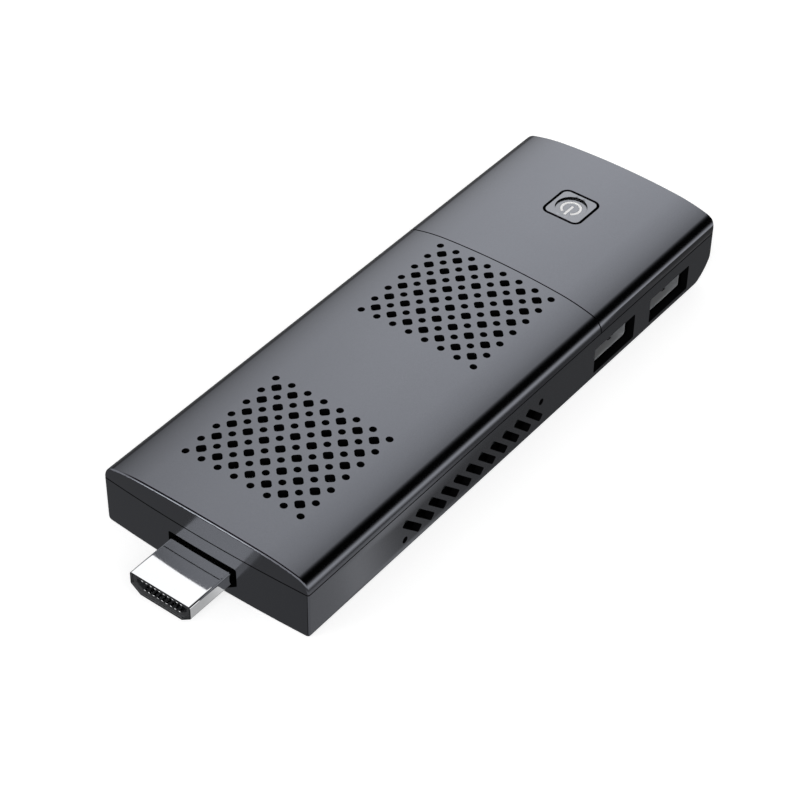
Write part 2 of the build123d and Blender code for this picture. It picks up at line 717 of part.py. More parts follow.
# Blower: a frame open towards the heat sink, a lid with the air intake under the second vent field,
# and an impeller on a shaft in a sleeve bearing, turned by a four-pole motor in its hub.
fan_rear_gap = 0.65
fan_side = 26.0
fan_height = 6.4
fan_lift = 1.0
fan_base = 0.8
fan_lid_thickness = 0.6
fan_room_radius = 11.6
fan_outlet_side = 4.0
fan_corner = 1.0
intake_radius = 8.2
bearing_tube_radius = 2.2
bearing_radius = 1.6
fan_shaft_radius = 0.6
bearing_gap = 0.03
press_gap = 0.02
hub_radius = 5.5
hub_wall = 0.5
hub_roof = 0.6
impeller_radius = 10.2
impeller_gap = 0.5
blade_count = 17
blade_thickness = 0.5
blade_curve_radius = 9.1
blade_curve_x = 4.0
blade_curve_y = -9.0
blade_rise = 0.3
magnet_thickness = 0.5
magnet_height = 2.8
motor_gap = 0.3
stator_core = 0.7
stator_shoe = 0.45
stator_shoe_gap = 1.1
stator_arm_width = 1.1
stator_height = 1.4
coil_length = 0.5
coil_width = 1.9
coil_height = 2.2
poles = 4
fan_screw_place = 11.3
fan_post_radius = 1.75
fan_screw_radius = 0.7
fan_head_radius = 1.4
fan_head_height = 0.6

fan_half = fan_side / 2
fan_distance = usb_distances[0] - usb_width / 2 - usb_wing_reach - fan_rear_gap - fan_half
fan_x = at(fan_distance)
fan_bottom = board_top + fan_lift
fan_floor = fan_bottom + fan_base
fan_top = fan_bottom + fan_height
lid_bottom = fan_top - fan_lid_thickness
impeller_bottom = fan_floor + impeller_gap
impeller_top = lid_bottom - impeller_gap
hub_ceiling = impeller_top - hub_roof
bearing_top = hub_ceiling - motor_gap
motor_middle = (fan_floor + hub_ceiling) / 2
fan_screw_places = [(-fan_screw_place, fan_screw_place), (fan_screw_place, -fan_screw_place)]


def round_the_axis(shape, count):
    """Copies of a shape turned evenly round the fan's axis."""
    return [Rot(0, 0, 360 * i / count) * shape for i in range(count)]


def in_fan(shapes):
    """The shapes moved from the fan's own axis to their place."""
    return [Pos(fan_x, 0, 0) * shape for shape in shapes]


fan_block = slab(-fan_half, fan_half, -fan_half, fan_half, fan_bottom, lid_bottom, fan_corner)
fan_room = rod(0, 0, fan_floor, lid_bottom + overrun, fan_room_radius)
fan_outlet = block(-fan_half - overrun, 0, -fan_room_radius, fan_outlet_side, fan_floor,
                   lid_bottom + overrun)
fan_screw_holes = [rod(x, y, fan_bottom - overrun, fan_top + overrun, fan_screw_radius + fit_gap)
                   for x, y in fan_screw_places]
bearing_tube = rod(0, 0, fan_bottom, bearing_top, bearing_tube_radius)
bearing_hole = rod(0, 0, fan_floor, bearing_top + overrun, bearing_radius + press_gap)
fan_frame = (fan_block - fan_room - fan_outlet).fuse(bearing_tube) - bearing_hole - fan_screw_holes
fan_lid = slab(-fan_half, fan_half, -fan_half, fan_half, lid_bottom, fan_top, fan_corner)
fan_lid = fan_lid - rod(0, 0, lid_bottom - overrun, fan_top + overrun, intake_radius) - fan_screw_holes

blade_ring = ring(blade_curve_x, blade_curve_y, impeller_bottom + blade_rise, impeller_top,
                  blade_curve_radius, blade_curve_radius - blade_thickness)
blade = blade_ring & ring(0, 0, impeller_bottom, impeller_top, impeller_radius, hub_radius - hub_wall / 2)
blade = blade & block(blade_curve_x, impeller_radius, blade_curve_x - blade_curve_radius, blade_curve_radius,
                      impeller_bottom, impeller_top)
hub = rod(0, 0, impeller_bottom, impeller_top, hub_radius)
hub_room = rod(0, 0, impeller_bottom - overrun, hub_ceiling, hub_radius - hub_wall)
hub_hole = rod(0, 0, impeller_bottom, impeller_top + overrun, fan_shaft_radius + press_gap)
impeller = (hub - hub_room).fuse(*round_the_axis(blade, blade_count)) - hub_hole

magnet_outer = hub_radius - hub_wall - press_gap
magnet_inner = magnet_outer - magnet_thickness
shoe_outer = magnet_inner - motor_gap
shoe_inner = shoe_outer - stator_shoe
core_inner = bearing_tube_radius + press_gap
core_outer = core_inner + stator_core
magnet = ring(0, 0, hub_ceiling - magnet_height, hub_ceiling, magnet_outer, magnet_inner)
stator_low = motor_middle - stator_height / 2
stator_high = motor_middle + stator_height / 2
arm = block(core_outer - stator_core / 2, shoe_outer - stator_shoe / 2, -stator_arm_width / 2,
            stator_arm_width / 2, stator_low, stator_high)
shoe_cut = Rot(0, 0, 45) * block(shoe_inner / 2, shoe_outer + overrun, -stator_shoe_gap / 2,
                                 stator_shoe_gap / 2, stator_low - overrun, stator_high + overrun)
shoes = ring(0, 0, stator_low, stator_high, shoe_outer, shoe_inner) - round_the_axis(shoe_cut, poles)
stator_core_ring = ring(0, 0, stator_low, stator_high, core_outer, core_inner)
stator = stator_core_ring.fuse(shoes, *round_the_axis(arm, poles))
coil_start = core_outer + fit_gap
coil = block(coil_start, coil_start + coil_length, -coil_width / 2, coil_width / 2,
             motor_middle - coil_height / 2, motor_middle + coil_height / 2) - arm

nodes["fan_frame"] = in_fan([fan_frame])[0]
nodes["fan_lid"] = in_fan([fan_lid])[0]
nodes["fan_impeller"] = in_fan([impeller])[0]
nodes["fan_magnet"] = in_fan([magnet])[0]
nodes["fan_shaft"] = in_fan([rod(0, 0, fan_floor, impeller_top, fan_shaft_radius)])[0]
nodes["fan_bearing"] = in_fan([ring(0, 0, fan_floor, bearing_top, bearing_radius,
                                    fan_shaft_radius + bearing_gap)])[0]
nodes["fan_stator"] = in_fan([stator])[0]
nodes["fan_coils"] = Compound(in_fan(round_the_axis(coil, poles)))
nodes["fan_posts"] = Compound(in_fan([ring(x, y, board_top, fan_bottom, fan_post_radius,
                                           fan_screw_radius + fit_gap) for x, y in fan_screw_places]))
nodes["fan_screws"] = Compound(in_fan([screw(x, y, fan_top, board_top + fit_gap, fan_screw_radius,
                                             fan_head_radius, fan_head_height)
                                       for x, y in fan_screw_places]))

# Processor and its cooler: package and die on the board, a soft pad, and a finned aluminium heat sink
# held down by four screws.
sink_gap = 2.2
package_side = 24.0
package_height = 1.0
die_length = 12.0
die_width = 10.0
die_height = 0.4
pad_length = 14.0
pad_width = 12.0
pad_height = 0.5
sink_length = 31.0
sink_width = 34.0
sink_base = 1.5
sink_height = 5.8
fin_count = 12
fin_thickness = 0.9
fin_cut_width = 1.4
fin_cuts = 3
sink_screw_place_x = 13.5
sink_screw_place_y = 15.0
sink_screw_room = 2.2
sink_post_radius = 1.7
sink_screw_radius = 0.7
sink_head_radius = 1.4
sink_head_height = 0.8

processor_distance = fan_distance - fan_half - sink_gap - sink_length / 2
sink_x = at(processor_distance)
die_bottom = board_top + package_height
pad_bottom = die_bottom + die_height
sink_bottom = pad_bottom + pad_height
fin_root = sink_bottom + sink_base
sink_top = sink_bottom + sink_height
sink_screw_places = [(sink_x + sx * sink_screw_place_x, sy * sink_screw_place_y)
                     for sx in (-1, 1) for sy in (-1, 1)]
fin_step = (sink_width - fin_thickness) / (fin_count - 1)
fin_first = (fin_thickness - sink_width) / 2
fins = boxes([(sink_x, fin_first + i * fin_step) for i in range(fin_count)], sink_length, fin_thickness,
             fin_root - sink_base / 2, sink_top)
cut_step = sink_length / (fin_cuts + 1)
fin_gaps = boxes([(sink_x + (i + 1) * cut_step - sink_length / 2, 0) for i in range(fin_cuts)],
                 fin_cut_width, sink_width + overrun, fin_root, sink_top + overrun)
screw_rooms = [rod(x, y, fin_root, sink_top + overrun, sink_screw_room) for x, y in sink_screw_places]
screw_holes = [rod(x, y, sink_bottom - overrun, sink_top + overrun, sink_screw_radius + fit_gap)
               for x, y in sink_screw_places]
sink = boxes([(sink_x, 0)], sink_length, sink_width, sink_bottom, fin_root)[0]
nodes["heat_sink"] = sink.fuse(*fins) - fin_gaps - screw_rooms - screw_holes
nodes["processor_package"] = boxes([(sink_x, 0)], package_side, package_side, board_top, die_bottom)[0]
nodes["processor_die"] = boxes([(sink_x, 0)], die_length, die_width, die_bottom, pad_bottom)[0]
nodes["thermal_pad"] = boxes([(sink_x, 0)], pad_length, pad_width, pad_bottom, sink_bottom)[0]
nodes["heat_sink_posts"] = Compound([ring(x, y, board_top, sink_bottom, sink_post_radius,
                                          sink_screw_radius + fit_gap) for x, y in sink_screw_places])
nodes["heat_sink_screws"] = Compound([screw(x, y, fin_root, board_top + fit_gap, sink_screw_radius,
                                            sink_head_radius, sink_head_height)
                                      for x, y in sink_screw_places])

# Fan lead: three insulated wires from the side of the blower, round one bend, to a plug in a socket
lead_count = 3
lead_radius = 0.25
lead_pitch = 0.7
lead_start = 4.8
lead_bend = 2.0
lead_room = 0.8
lead_socket_distance = 66.0
lead_socket_length = 3.0
lead_socket_width = 4.2
lead_socket_height = 2.6
lead_socket_wall = 0.5
lead_plug_step = 1.3

lead_z = board_top + lead_socket_height / 2
lead_middle = fan_half + lead_bend + lead_room + lead_pitch * (lead_count - 1) / 2
socket_front = at(lead_socket_distance)
socket_rear = socket_front + lead_socket_length
plug_rear_end = socket_rear + lead_plug_step
socket_room = block(socket_front + lead_socket_wall, plug_rear_end,
                    lead_middle + lead_socket_wall - lead_socket_width / 2,
                    lead_middle - lead_socket_wall + lead_socket_width / 2,
                    board_top + lead_socket_wall, board_top + lead_socket_height - lead_socket_wall)
lead_socket = block(socket_front, socket_rear, lead_middle - lead_socket_width / 2,
                    lead_middle + lead_socket_width / 2, board_top, board_top + lead_socket_height)
leads = []
for i in range(lead_count):
    start_x = fan_x + lead_start + i * lead_pitch
    run_y = lead_middle + (i - (lead_count - 1) / 2) * lead_pitch
    path = FilletPolyline((start_x, fan_half, lead_z), (start_x, run_y, lead_z),
                          (plug_rear_end, run_y, lead_z), radius=lead_bend)
    start = Plane(origin=path @ 0, z_dir=path % 0)
    leads.append(sweep(start * Circle(lead_radius), path=path))
nodes["fan_lead_socket"] = lead_socket - socket_room
nodes["fan_lead_plug"] = socket_room
nodes["fan_leads"] = Compound(leads)

# Chips and small parts soldered on the board, each told by its distance from the front and its side
memory_chip = (11.0, 9.0, 0.9)
storage_chip = (13.0, 11.5, 1.0)
power_chip = (3.0, 3.0, 0.8)
inductor = (4.2, 4.2, 2.0)
capacitor = (1.6, 0.9, 0.8)
crystal = (3.2, 2.5, 0.8)
light = (1.6, 1.2, 0.6)
memory_step_x = 8.0
memory_step_y = 6.5
memory_places = [(processor_distance + sx * memory_step_x, sy * memory_step_y)
                 for sx in (-1, 1) for sy in (-1, 1)]
storage_places = [(18.5, -9.5)]
power_row_gap = 5.0
power_row_side = inlet_rear - power_row_gap
power_chip_places = [(102.2, power_row_side), (117.2, power_row_side)]
inductor_places = [(106.6, power_row_side), (112.0, power_row_side)]
clock_inset = 2.9
crystal_places = [(105.2, 0.0), (61.0, board_half_width - clock_inset)]
light_places = [(115.8, 0.0)]
capacitor_row_start = 104.8
capacitor_row_step = 2.6
capacitor_row_step_back = 3.3
capacitor_row_count = 5
capacitor_places = [(capacitor_row_start + i * capacitor_row_step, power_row_side - capacitor_row_step_back)
                    for i in range(capacitor_row_count)]


def soldered(places, size):
    """Equal parts on top of the board."""
    spots = [(at(distance), y) for distance, y in places]
    return Compound(boxes(spots, size[0], size[1], board_top, board_top + size[2]))


memory_spots = [(at(distance), y) for distance, y in memory_places]
nodes["memory_chips"] = Compound(boxes(memory_spots, memory_chip[0], memory_chip[1],
                                       board_bottom - memory_chip[2], board_bottom))
nodes["storage_chip"] = soldered(storage_places, storage_chip)
nodes["power_chips"] = soldered(power_chip_places, power_chip)
nodes["inductors"] = soldered(inductor_places, inductor)
nodes["capacitors"] = soldered(capacitor_places, capacitor)
nodes["crystals"] = soldered(crystal_places, crystal)
nodes["status_light"] = soldered(light_places, light)

# Clock battery: a coin cell in a round holder with an open top
cell_distance = 17.8
cell_side = 8.5
cell_radius = 6.25
cell_height = 2.0
holder_radius = 6.8
holder_floor = 0.5
holder_height = 2.2

cell_x = at(cell_distance)
cell_bottom = board_top + holder_floor
holder = rod(cell_x, cell_side, board_top, board_top + holder_height, holder_radius)
nodes["coin_cell_holder"] = holder - rod(cell_x, cell_side, cell_bottom, cell_bottom + holder_height,
                                         cell_radius + fit_gap)
nodes["coin_cell"] = rod(cell_x, cell_side, cell_bottom, cell_bottom + cell_height, cell_radius)

# Wireless module: a small board under a sheet can, with two round aerial plugs at its rear end. Each
# plug's thin coaxial lead runs to its own aerial on the inside of the rear wall.
module_distance = 95.5
module_length = 14.0
module_width = 11.0
module_thickness = 0.8
can_length = 9.5
can_height = 1.6
can_sheet = 0.2
can_inset = 0.4
aerial_plug_radius = 1.2
aerial_plug_height = 1.4
aerial_plug_inset = 1.5
aerial_plug_side = 4.0
ferrule_radius = 0.6
ferrule_length = 0.8
coax_radius = 0.4
coax_bend = 4.0
coax_drift = 0.6
coax_first_run = 7.0
coax_second_run = 15.3
coax_third_run = 19.0
aerial_length = 12.0
aerial_height = 2.6
aerial_thickness = 0.4
aerial_side = 9.0

module_x = at(module_distance)
module_top = board_top + module_thickness
module_rear = module_x + module_length / 2
can_front = module_x - module_length / 2 + can_inset
can_half = module_width / 2 - can_inset
aerial_plug_x = module_rear - aerial_plug_inset
aerial_plug_top = module_top + aerial_plug_height
ferrule_z = module_top + aerial_plug_height / 2
ferrule_end = aerial_plug_x + aerial_plug_radius + ferrule_length
aerial_front = rear_x - wall - aerial_thickness
aerial_bottom = tail_radius + fit_gap
aerial_middle = aerial_bottom + aerial_height / 2
wireless_board = boxes([(module_x, 0)], module_length, module_width, board_top, module_top)[0]
can = block(can_front, can_front + can_length, -can_half, can_half, module_top, module_top + can_height)
can_room = block(can_front + can_sheet, can_front + can_length - can_sheet, can_sheet - can_half,
                 can_half - can_sheet, module_top - overrun, module_top + can_height - can_sheet)
aerial_plugs = []
coax_leads = []
for side in (-1, 1):
    y = side * aerial_plug_side
    ferrule = Pos(ferrule_end - ferrule_length, y, ferrule_z) * Rot(0, 90, 0) * Cylinder(
        ferrule_radius, 2 * ferrule_length)
    aerial_plugs.append(rod(aerial_plug_x, y, module_top, aerial_plug_top, aerial_plug_radius) + ferrule)
    path = FilletPolyline((ferrule_end, y, ferrule_z),
                          (ferrule_end + coax_first_run, side * (aerial_plug_side + coax_drift), ferrule_z),
                          (ferrule_end + coax_second_run, side * (aerial_plug_side + 2 * coax_drift),
                           (ferrule_z + aerial_middle) / 2),
                          (ferrule_end + coax_third_run, side * aerial_side, aerial_middle),
                          (aerial_front, side * aerial_side, aerial_middle), radius=coax_bend)
    start = Plane(origin=path @ 0, z_dir=path % 0)
    coax_leads.append(sweep(start * Circle(coax_radius), path=path))
aerial_places = [(aerial_front + aerial_thickness / 2, side * aerial_side) for side in (-1, 1)]
nodes["aerials"] = Compound(boxes(aerial_places, aerial_thickness, aerial_length, aerial_bottom,
                                  aerial_bottom + aerial_height))
nodes["wireless_board"] = wireless_board
nodes["wireless_can"] = can - can_room
nodes["aerial_plugs"] = Compound(aerial_plugs)
nodes["aerial_leads"] = Compound(coax_leads)

# Case: the finished shell and covers
bottom_shell = bottom_shell.fuse(*lower_bosses) - shell_cuts
front_bosses = [boss for boss in cover_bosses if boss.center().X < seam_x]
rear_bosses = [boss for boss in cover_bosses if boss.center().X > seam_x]
front_cover = front_cover.fuse(*front_bosses) - cover_pilots
rear_cover = rear_cover.fuse(*rear_bosses, *guide_pins) - cover_pilots - window
nodes["bottom_shell"] = bottom_shell
nodes["front_cover"] = front_cover
nodes["rear_cover"] = rear_cover

board = slab(at(board_front), at(board_rear), -board_half_width, board_half_width, board_bottom, board_top,
             board_corner)
nodes["main_board"] = board - board_cuts

for name, shape in nodes.items():
    export_step(shape, os.path.join("parts", name + ".step"))
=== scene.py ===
import json
import math

import bmesh
import bpy
import numpy as np
from mathutils import Matrix, Vector

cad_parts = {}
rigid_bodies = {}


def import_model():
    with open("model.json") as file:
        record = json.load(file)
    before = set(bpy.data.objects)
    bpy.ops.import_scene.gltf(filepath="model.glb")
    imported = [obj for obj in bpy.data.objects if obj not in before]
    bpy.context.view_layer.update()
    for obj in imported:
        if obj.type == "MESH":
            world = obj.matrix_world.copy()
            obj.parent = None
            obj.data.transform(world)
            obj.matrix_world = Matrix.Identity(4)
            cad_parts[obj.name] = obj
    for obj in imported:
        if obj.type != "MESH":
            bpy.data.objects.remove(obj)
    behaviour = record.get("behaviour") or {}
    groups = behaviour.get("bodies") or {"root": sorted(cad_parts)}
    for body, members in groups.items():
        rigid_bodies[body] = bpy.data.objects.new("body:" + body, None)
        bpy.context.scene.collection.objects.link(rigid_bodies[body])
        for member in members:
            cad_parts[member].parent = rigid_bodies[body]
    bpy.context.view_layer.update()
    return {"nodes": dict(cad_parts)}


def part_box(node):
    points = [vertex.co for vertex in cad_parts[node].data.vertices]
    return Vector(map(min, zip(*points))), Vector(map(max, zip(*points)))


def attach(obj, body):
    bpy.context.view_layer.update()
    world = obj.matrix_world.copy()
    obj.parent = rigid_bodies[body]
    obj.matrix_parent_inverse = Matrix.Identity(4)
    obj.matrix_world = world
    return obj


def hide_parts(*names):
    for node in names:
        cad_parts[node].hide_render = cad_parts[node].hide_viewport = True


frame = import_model()

# Bottom shell and covers: the case is moulded in dark plastic and sprayed with a thin dark grey metallic
# lacquer. The shell is the tray that carries everything, and the two covers close it on a lip.
MM = 0.001
CASE_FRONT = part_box("bottom_shell")[0][0] / MM
CASE_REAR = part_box("bottom_shell")[1][0] / MM
CASE_HALF_WIDTH = 23.4
CASE_HEIGHT = 15.6
CROWN_RADIUS = 160.0
CROWN_HALF_WIDTH = 13.6
SHOULDER_RADIUS = 38.7
BROW_RADIUS = 3.3
LONG_EDGE_RADIUS = 0.8
END_EDGE_RADIUS = 0.5
REAR_CORNER_RADIUS = 1.3
FRONT_BOW_RADIUS = 350.0
TAIL_RADIUS = 8.8
MERGE_DISTANCE = 0.001
FLAT_DEGREES = 0.2
SKIN_TOLERANCE = 0.03
SMALL_ANGLE = 0.002
SKIN_ALIGNED = math.cos(math.radians(50.0))
LACQUER_GREY = "#6a6c72"
MOULDING_BLACK_AND_SHADE = "#070708"


def linear(hex_colour):
    """The shader's values of a colour written as on screen: each part is taken out of the sRGB curve."""
    parts = [int(hex_colour[i:i + 2], 16) / 255 for i in (1, 3, 5)]
    return tuple(p / 12.92 if p <= 0.04045 else ((p + 0.055) / 1.055) ** 2.4 for p in parts)


def placed(tree, kind, links=(), **values):
    """A node of a kind in a tree, with its settings, its socket values and its incoming links."""
    node = tree.nodes.new(kind)
    for label, value in values.items():
        if hasattr(node, label):
            setattr(node, label, value)
        else:
            node.inputs[label.replace("_", " ")].default_value = value
    for source, socket in links:
        tree.links.new(source, node.inputs[socket])
    return node


def effect_group(name, build):
    """A shader group that turns a colour and a roughness into ones that change over the surface, and gives a
    normal. The build function gets the tree and the place on the piece, and returns three sockets: the shade
    that the colour is multiplied by, what is added to the roughness, and the height."""
    group = bpy.data.node_groups.new(name, "ShaderNodeTree")
    for label, kind in (("Colour", "Color"), ("Roughness", "Float"), ("Depth", "Float")):
        group.interface.new_socket(label, in_out="INPUT", socket_type="NodeSocket" + kind)
    for label, kind in (("Colour", "Color"), ("Roughness", "Float"), ("Normal", "Vector")):
        group.interface.new_socket(label, in_out="OUTPUT", socket_type="NodeSocket" + kind)
    start = placed(group, "NodeGroupInput")
    place = placed(group, "ShaderNodeTexCoord").outputs["Object"]
    shade, gloss, height = build(group, place)
    shaded = placed(group, "ShaderNodeVectorMath", [(start.outputs["Colour"], 0), (shade, "Scale")],
                    operation="SCALE")
    rough = placed(group, "ShaderNodeMath", [(start.outputs["Roughness"], 0), (gloss, 1)], operation="ADD")
    bump = placed(group, "ShaderNodeBump", [(height, "Height"), (start.outputs["Depth"], "Distance")])
    placed(group, "NodeGroupOutput", [(shaded.outputs[0], "Colour"), (rough.outputs[0], "Roughness"),
                                      (bump.outputs[0], "Normal")])
    return group


def noise(tree, place, **values):
    """The strength of a noise over the piece, around a half."""
    return placed(tree, "ShaderNodeTexNoise", [(place, "Vector")], **values).outputs["Fac"]


def spread(tree, value, low, high, begin=0.0, finish=1.0):
    """A value stretched to run from low to high while it goes from begin to finish."""
    return placed(tree, "ShaderNodeMapRange", [(value, "Value")], From_Min=begin, From_Max=finish,
                  To_Min=low, To_Max=high).outputs["Result"]


def combined(tree, operation, first, second):
    """Two values put together by a sum, product or the like. Either may be a plain number."""
    node = placed(tree, "ShaderNodeMath", operation=operation)
    for socket, value in zip(node.inputs, (first, second)):
        if isinstance(value, (int, float)):
            socket.default_value = value
        else:
            tree.links.new(value, socket)
    return node.outputs[0]


def lacquer_look(tree, place):
    """Sprayed lacquer: fine flakes catch the light one by one, the coat is a little wavy, and slow noise
    shifts its shade and gloss."""
    slow = noise(tree, place, Scale=70.0, Detail=4.0)
    flakes = placed(tree, "ShaderNodeTexVoronoi", [(place, "Vector")], Scale=9000.0).outputs["Color"]
    flake = placed(tree, "ShaderNodeSeparateColor", [(flakes, "Color")]).outputs["Red"]
    shade = combined(tree, "MULTIPLY", spread(tree, slow, low=0.97, high=1.03),
                     spread(tree, flake, low=0.96, high=1.04))
    wave = noise(tree, place, Scale=1400.0, Detail=1.0)
    return shade, spread(tree, slow, low=-0.02, high=0.02), wave


def moulded_look(tree, place):
    """Moulded plastic: a fine spark-eroded grain, and slow noise that shifts shade and gloss a little."""
    slow = noise(tree, place, Scale=120.0, Detail=4.0)
    grain = noise(tree, place, Scale=5200.0, Detail=3.0)
    return spread(tree, slow, low=0.92, high=1.08), spread(tree, slow, low=-0.04, high=0.04), grain


def finish_of(name, group, colour, roughness, depth, **constants):
    """A material: the group feeds the shader's colour, roughness and normal, and what is the same all over
    is set on the shader. The depth of the relief is in millimetres."""
    material = bpy.data.materials.new(name)
    material.use_nodes = True
    tree = material.node_tree
    shader = tree.nodes["Principled BSDF"]
    effect = placed(tree, "ShaderNodeGroup", node_tree=group)
    base = (*linear(colour), 1)
    for label, value in (("Colour", base), ("Roughness", roughness), ("Depth", depth * MM)):
        effect.inputs[label].default_value = value
    shader.inputs["Base Color"].default_value = base
    shader.inputs["Roughness"].default_value = roughness
    for label, value in constants.items():
        shader.inputs[label.replace("_", " ")].default_value = value
    for label, socket in (("Colour", "Base Color"), ("Roughness", "Roughness"), ("Normal", "Normal")):
        tree.links.new(effect.outputs[label], shader.inputs[socket])
    return material


def dressed(node, material, sharp=30.0, bevel=0.0, segments=2, split=False):
    """A merged copy of a CAD node stands for it: its corners are joined, edges blunter than the sharp angle
    in degrees are shaded smooth, and a bevel in millimetres breaks the sharp ones. Where asked, flat faces
    with inward corners, such as one round a hole, are split up."""
    source = frame["nodes"][node]
    mesh = source.data.copy()
    mesh.name = node + "_surface"
    shape = bmesh.new()
    shape.from_mesh(mesh)
    bmesh.ops.remove_doubles(shape, verts=shape.verts, dist=MERGE_DISTANCE * MM)
    if bevel:
        bmesh.ops.dissolve_limit(shape, angle_limit=math.radians(FLAT_DEGREES), verts=shape.verts,
                                 edges=shape.edges)
    if split:
        bmesh.ops.connect_verts_concave(shape, faces=shape.faces)
    shape.to_mesh(mesh)
    shape.free()
    mesh.shade_smooth()
    mesh.set_sharp_from_angle(angle=math.radians(sharp))
    mesh.materials.clear()
    mesh.materials.append(material)
    piece = bpy.data.objects.new(node + "_piece", mesh)
    bpy.context.collection.objects.link(piece)
    if bevel:
        edge = piece.modifiers.new("broken edges", "BEVEL")
        edge.width = bevel * MM
        edge.segments = segments
        edge.limit_method = "ANGLE"
        edge.angle_limit = math.radians(sharp)
        edge.use_clamp_overlap = True
        piece.modifiers.new("even shading", "WEIGHTED_NORMAL").keep_sharp = True
    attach(piece, source.parent.name.split(":")[1])
    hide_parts(node)
    return piece


def of_faces(mesh, measure):
    """Three numbers for each face, such as its normal or its centre, as rows."""
    rows = np.empty(len(mesh.polygons) * 3)
    mesh.polygons.foreach_get(measure, rows)
    return rows.reshape(-1, 3)


def take_second_material(mesh, chosen):
    """The chosen faces take the piece's second material, and the others its first."""
    mesh.polygons.foreach_set("material_index", chosen.astype(np.int32))


def case_arcs():
    """Centre, radius and first and last angle from straight up of each arc of the case's cross-section, on
    the +Y side: the crown rolls into the shoulder, that into the brow, and the side into the lower edge."""
    turn = math.asin(CROWN_HALF_WIDTH / CROWN_RADIUS)
    reach = CASE_HALF_WIDTH - CROWN_HALF_WIDTH + SHOULDER_RADIUS * math.sin(turn) - BROW_RADIUS
    steep = math.asin(reach / (SHOULDER_RADIUS - BROW_RADIUS))
    crown_z = CASE_HEIGHT - CROWN_RADIUS
    shoulder_y = (CROWN_RADIUS - SHOULDER_RADIUS) * math.sin(turn)
    shoulder_z = crown_z + (CROWN_RADIUS - SHOULDER_RADIUS) * math.cos(turn)
    brow_z = shoulder_z + (SHOULDER_RADIUS - BROW_RADIUS) * math.cos(steep)
    low_y = CASE_HALF_WIDTH - LONG_EDGE_RADIUS
    return [(0.0, crown_z, CROWN_RADIUS, 0.0, turn), (shoulder_y, shoulder_z, SHOULDER_RADIUS, turn, steep),
            (CASE_HALF_WIDTH - BROW_RADIUS, brow_z, BROW_RADIUS, steep, math.pi / 2),
            (low_y, LONG_EDGE_RADIUS, LONG_EDGE_RADIUS, math.pi / 2, math.pi)]


def nearest_skin(y, z):
    """How deep places on the +Y side lie under the case's cross-section, and the normal there. For an arc
    the depth is its radius less the way from its centre, and the normal is that way's direction. For the
    side wall and the underside the depth is straight in. The surface with the least depth counts."""
    arcs = case_arcs()
    ways = []
    for centre_y, centre_z, radius, first, last in arcs:
        away = np.maximum(np.hypot(y - centre_y, z - centre_z), SKIN_TOLERANCE)
        angle = np.arctan2(y - centre_y, z - centre_z)
        within = (angle > first - SMALL_ANGLE) & (angle < last + SMALL_ANGLE)
        ways.append((np.where(within, radius - away, CASE_HEIGHT), (y - centre_y) / away,
                     (z - centre_z) / away))
    (_, brow_z, *_), (low_y, low_z, *_) = arcs[2:]
    ones, zeros = np.ones_like(y), np.zeros_like(y)
    ways.append((np.where((z > low_z) & (z < brow_z), CASE_HALF_WIDTH - y, CASE_HEIGHT), ones, zeros))
    ways.append((np.where(y < low_y, z, CASE_HEIGHT), zeros, -ones))
    depths, sideways, upwards = (np.array(rows) for rows in zip(*ways))
    nearest = np.abs(depths).argmin(axis=0)[None]
    return [np.take_along_axis(rows, nearest, axis=0)[0] for rows in (depths, sideways, upwards)]


